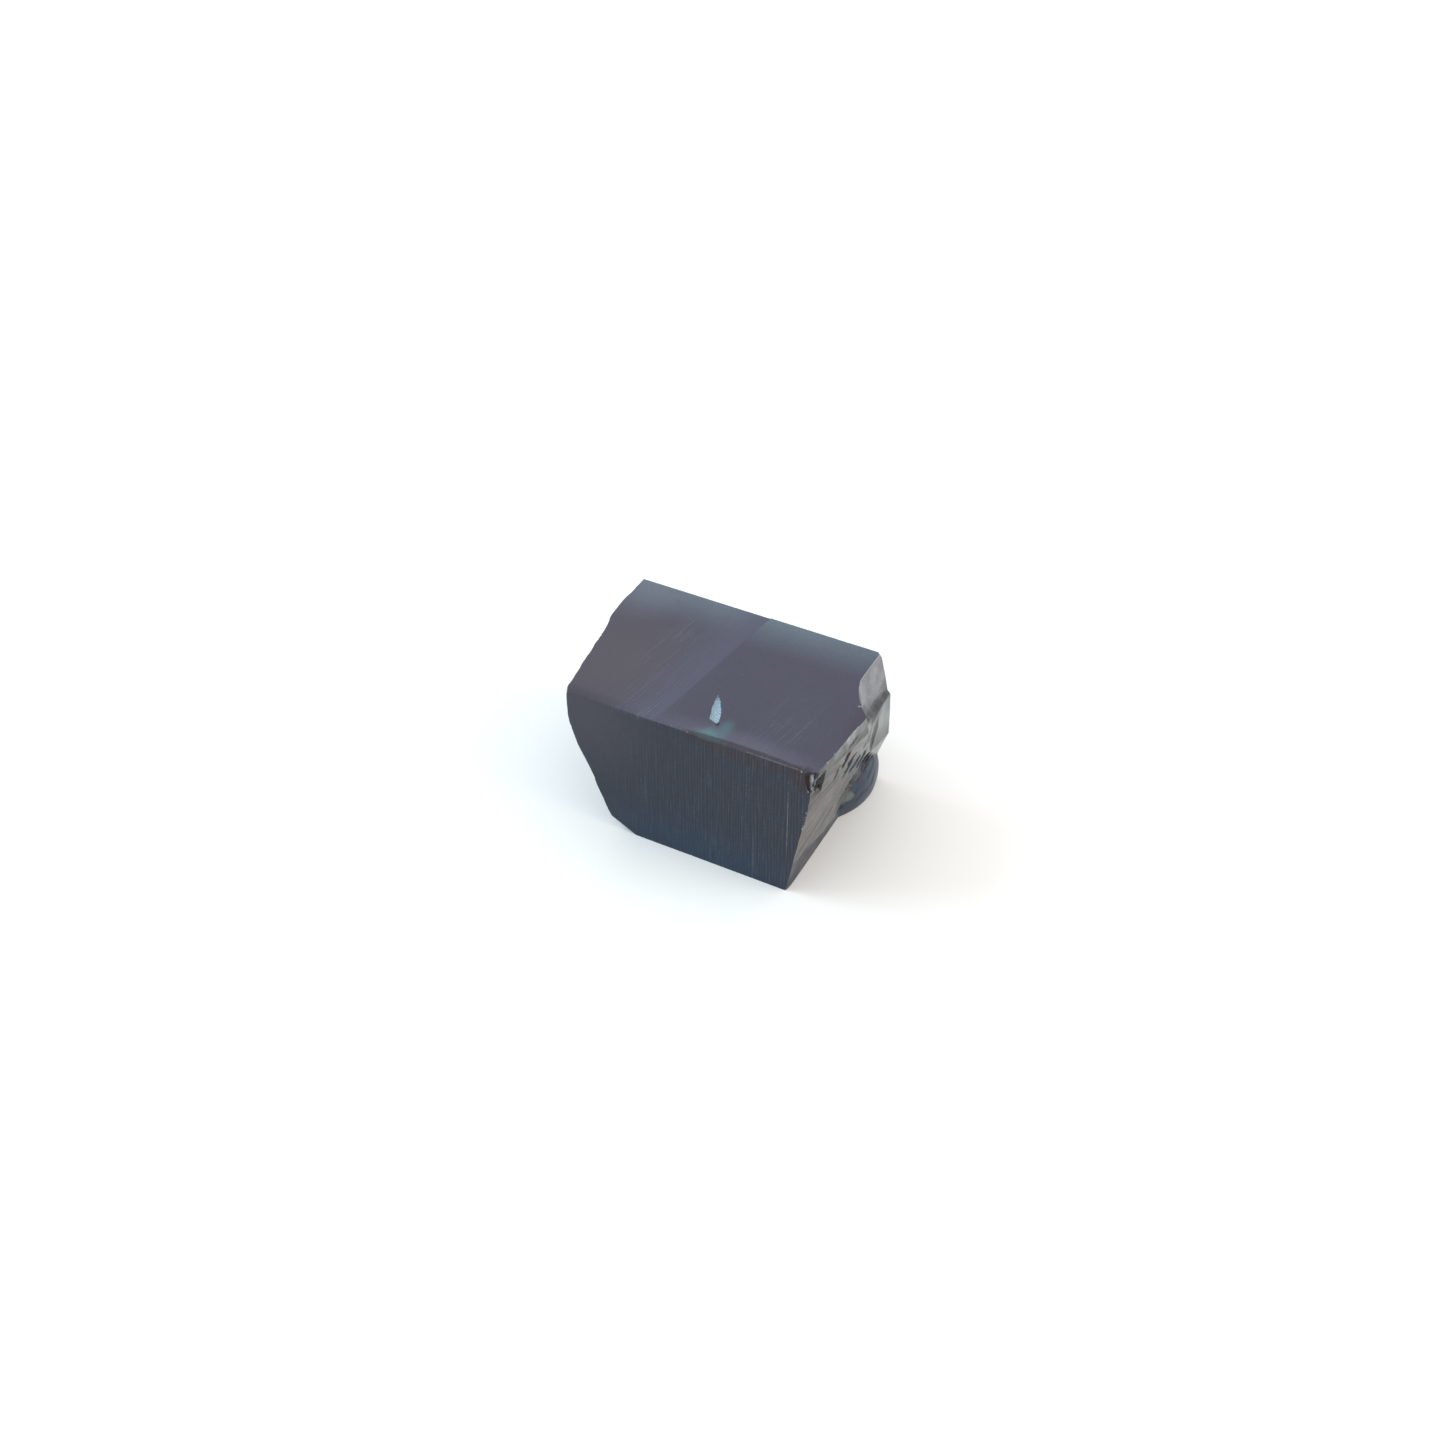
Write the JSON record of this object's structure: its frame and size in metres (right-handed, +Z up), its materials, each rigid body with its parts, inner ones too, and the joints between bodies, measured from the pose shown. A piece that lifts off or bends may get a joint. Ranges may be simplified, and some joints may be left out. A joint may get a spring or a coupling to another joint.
{
  "type": "rough alexandrite block",
  "caption": "Rough block of dark crystal, sawn flat on its sides, top and base, broken across one end and slanting inwards at the other.",
  "frame": {"origin": "on the resting surface, under the middle of the block's bounding box", "axes": "+X along the block towards its broken end, +Y from the front sawn face to the back one, +Z up"},
  "size_m": [0.0186, 0.0122, 0.0102],
  "materials": {
    "crystal": "satin"
  },
  "bodies": {
    "root": {"alexandrite": "crystal"}
  },
  "joints": []
}
